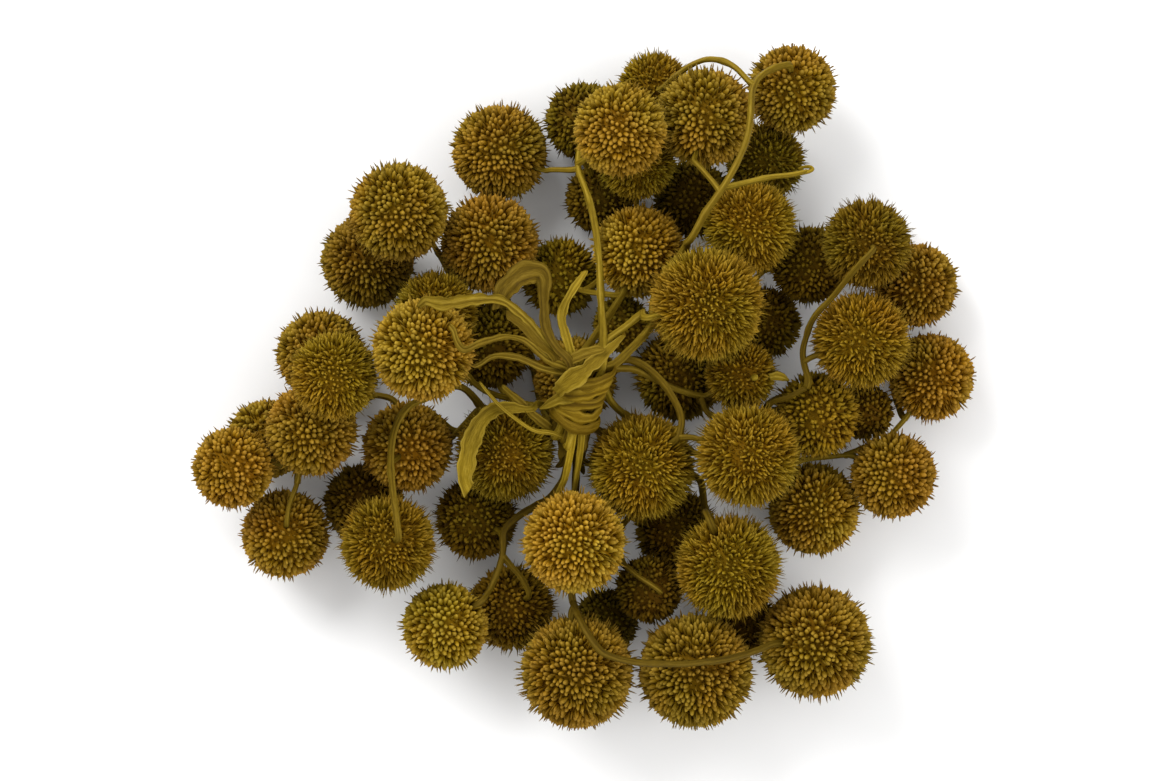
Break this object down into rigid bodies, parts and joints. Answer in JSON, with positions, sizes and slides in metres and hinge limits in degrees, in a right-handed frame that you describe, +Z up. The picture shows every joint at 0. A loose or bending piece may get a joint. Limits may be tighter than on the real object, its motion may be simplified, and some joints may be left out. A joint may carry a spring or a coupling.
{
  "type": "tied bunch of plane tree seed balls",
  "caption": "Dried plane tree seed balls on branching stalks, gathered with a tie and lying flat as a bunch.",
  "frame": {"origin": "middle of the bunch's outline from above, on the surface that it lies on", "axes": "+X along the bunch's longest side, +Y towards the end of the tie from which the bowed cut ends spread, +Z up off the surface"},
  "size_m": [0.237, 0.2069, 0.076],
  "materials": {
    "olive_seed_tufts": "dry, matt, olive brown",
    "brown_seed_tufts": "dry, matt, brown",
    "light_seed_tufts": "dry, matt, yellow brown",
    "stalk": "dry, fibrous, olive yellow",
    "tie": "dry plant strap, matt"
  },
  "bodies": {
    "root": {"seed_ball_01": "light_seed_tufts", "seed_ball_02": "light_seed_tufts", "seed_ball_03": "light_seed_tufts", "seed_ball_04": "olive_seed_tufts", "seed_ball_05": "olive_seed_tufts", "seed_ball_06": "brown_seed_tufts", "seed_ball_07": "olive_seed_tufts", "seed_ball_08": "olive_seed_tufts", "seed_ball_09": "brown_seed_tufts", "seed_ball_10": "light_seed_tufts", "seed_ball_11": "olive_seed_tufts", "seed_ball_12": "brown_seed_tufts", "seed_ball_13": "olive_seed_tufts", "seed_ball_14": "olive_seed_tufts", "seed_ball_15": "light_seed_tufts", "seed_ball_16": "olive_seed_tufts", "seed_ball_17": "olive_seed_tufts", "seed_ball_18": "brown_seed_tufts", "seed_ball_19": "olive_seed_tufts", "seed_ball_20": "olive_seed_tufts", "seed_ball_21": "brown_seed_tufts", "seed_ball_22": "olive_seed_tufts", "seed_ball_23": "olive_seed_tufts", "seed_ball_24": "brown_seed_tufts", "seed_ball_25": "light_seed_tufts", "seed_ball_26": "olive_seed_tufts", "seed_ball_27": "brown_seed_tufts", "seed_ball_28": "olive_seed_tufts", "seed_ball_29": "olive_seed_tufts", "seed_ball_30": "brown_seed_tufts", "seed_ball_31": "olive_seed_tufts", "seed_ball_32": "light_seed_tufts", "seed_ball_33": "brown_seed_tufts", "seed_ball_34": "light_seed_tufts", "seed_ball_35": "olive_seed_tufts", "seed_ball_36": "brown_seed_tufts", "seed_ball_37": "olive_seed_tufts", "seed_ball_38": "olive_seed_tufts", "seed_ball_39": "brown_seed_tufts", "seed_ball_40": "olive_seed_tufts", "seed_ball_41": "olive_seed_tufts", "seed_ball_42": "brown_seed_tufts", "seed_ball_43": "light_seed_tufts", "seed_ball_44": "olive_seed_tufts", "seed_ball_45": "brown_seed_tufts", "seed_ball_46": "light_seed_tufts", "seed_ball_47": "olive_seed_tufts", "seed_ball_48": "brown_seed_tufts", "seed_ball_49": "olive_seed_tufts", "seed_ball_50": "olive_seed_tufts", "seed_ball_51": "brown_seed_tufts", "seed_ball_52": "olive_seed_tufts", "seed_ball_53": "olive_seed_tufts", "seed_ball_54": "brown_seed_tufts", "seed_ball_55": "olive_seed_tufts", "seed_ball_56": "olive_seed_tufts", "seed_ball_57": "brown_seed_tufts", "seed_ball_58": "olive_seed_tufts", "stalks": "stalk", "tie": "tie"}
  },
  "joints": []
}
